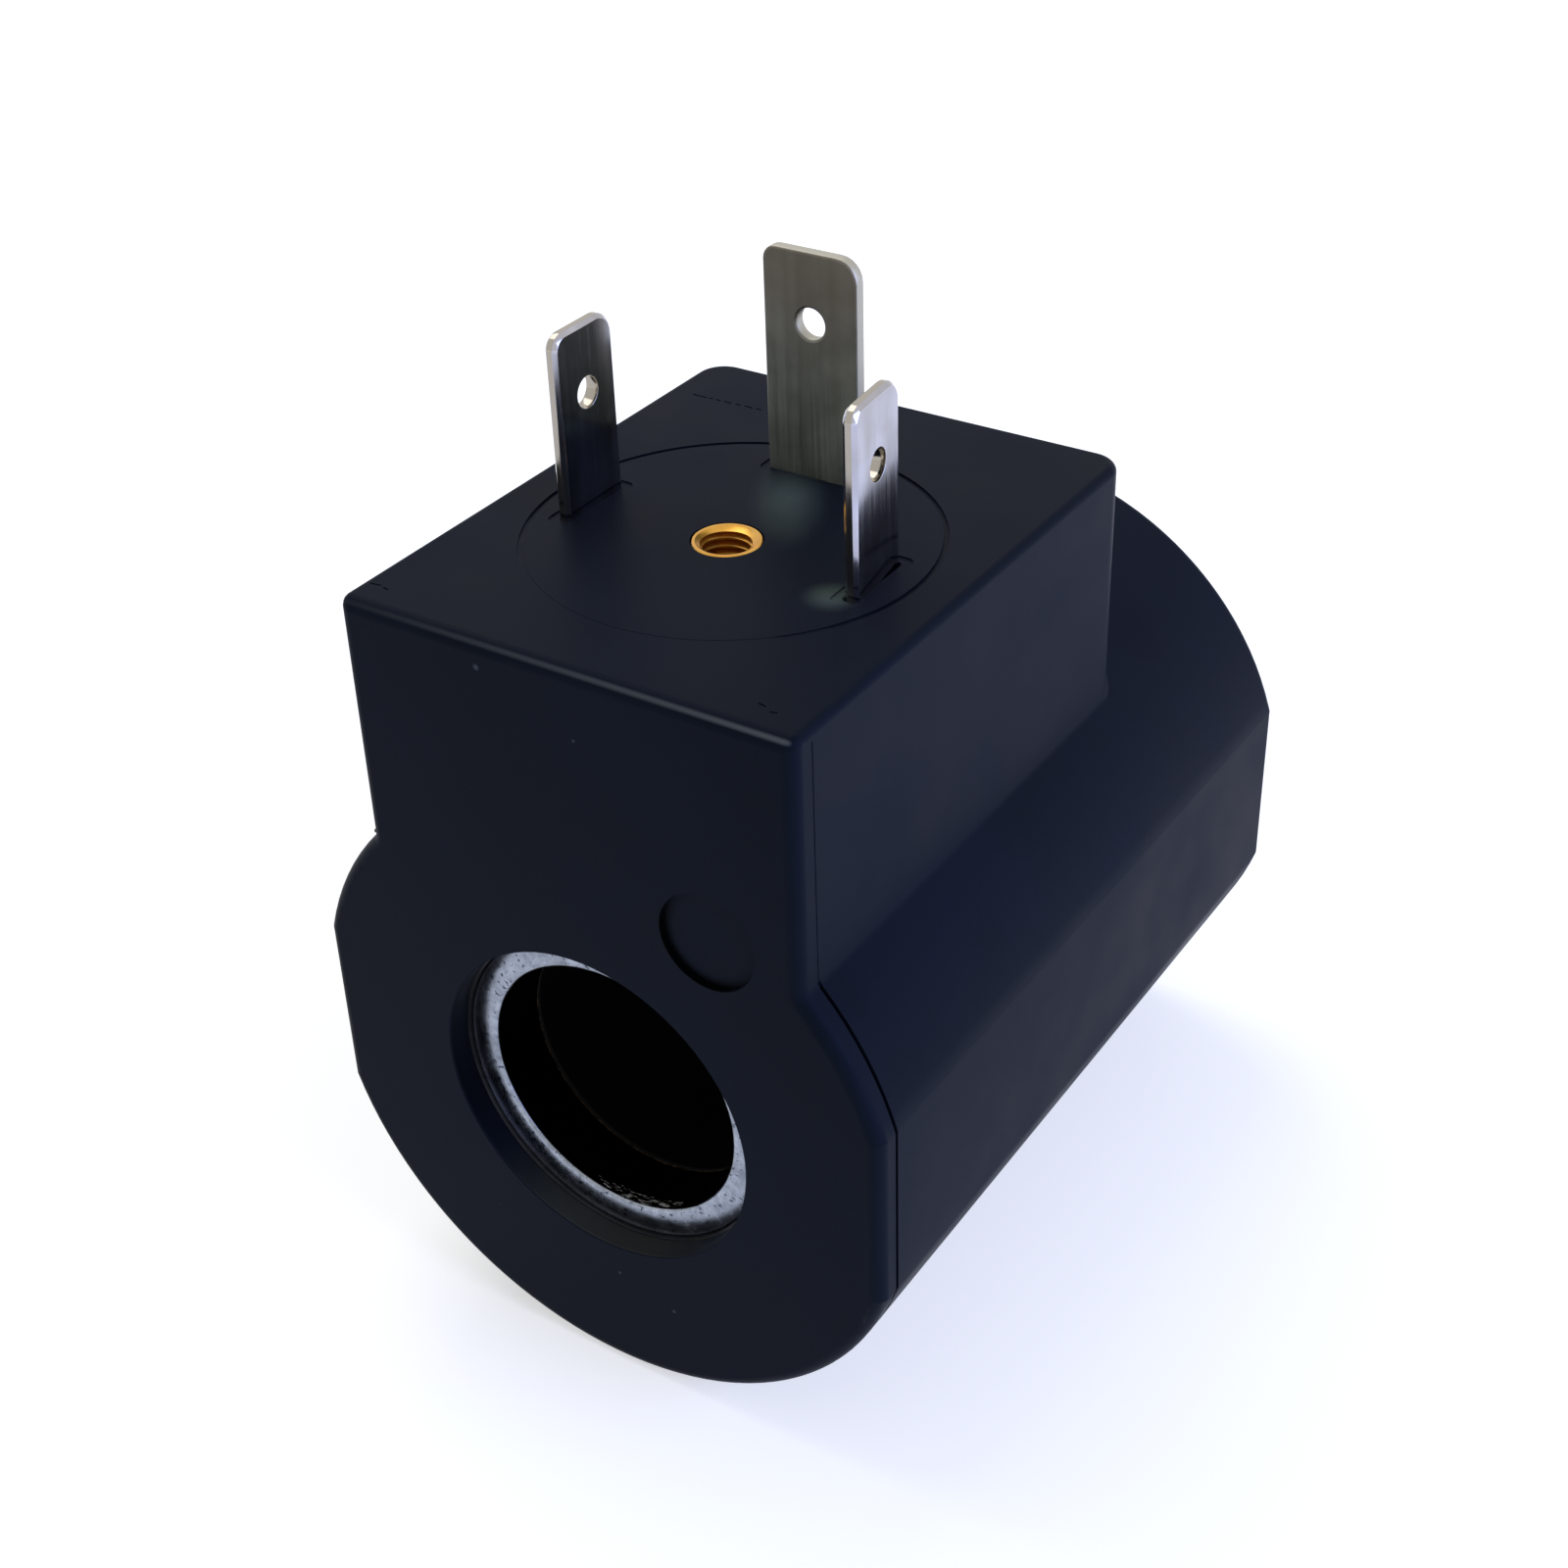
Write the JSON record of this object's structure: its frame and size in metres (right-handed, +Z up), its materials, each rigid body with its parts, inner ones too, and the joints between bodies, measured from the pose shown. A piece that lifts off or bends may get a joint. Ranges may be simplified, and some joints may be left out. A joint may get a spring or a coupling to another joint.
{
  "type": "hydraulic solenoid valve coil",
  "caption": "Encapsulated solenoid coil for a hydraulic cartridge valve, with a through bore for the armature tube, flat contact blades and a brass insert for the plug's screw.",
  "frame": {"origin": "on the bore axis, half way along the body", "axes": "+Y along the bore, from the end face under the connector to the other end; +Z up, towards the contact blades; +X to the right when looking along +Y"},
  "size_m": [0.037, 0.0494, 0.0606],
  "materials": {
    "casing_plastic": "satin, as moulded",
    "bobbin_plastic": "satin, as moulded",
    "zinc_plated_steel": "bright zinc",
    "magnet_steel": "bare, rolled",
    "tinned_brass": "tin plated, semi-bright",
    "brass": "turned",
    "enamelled_copper": "enamelled wire",
    "polyester_tape": "adhesive tape",
    "glass_sleeve": "braided sleeve",
    "solder": "bright solder"
  },
  "bodies": {
    "root": {"casing": "casing_plastic", "front_flux_ring": "zinc_plated_steel", "rear_flux_ring": "zinc_plated_steel", "front_pole_plate": "magnet_steel", "rear_pole_plate": "magnet_steel", "yoke": "magnet_steel", "bobbin": "bobbin_plastic", "winding": "enamelled_copper", "winding_wrap": "polyester_tape", "winding_jacket": "bobbin_plastic", "start_lead": "enamelled_copper", "finish_lead": "enamelled_copper", "start_lead_sleeve": "glass_sleeve", "finish_lead_sleeve": "glass_sleeve", "left_power_blade": "tinned_brass", "right_power_blade": "tinned_brass", "earth_blade": "tinned_brass", "earth_rivet": "zinc_plated_steel", "left_solder_joint": "solder", "right_solder_joint": "solder", "terminal_carrier": "bobbin_plastic", "threaded_insert": "brass"}
  },
  "joints": []
}
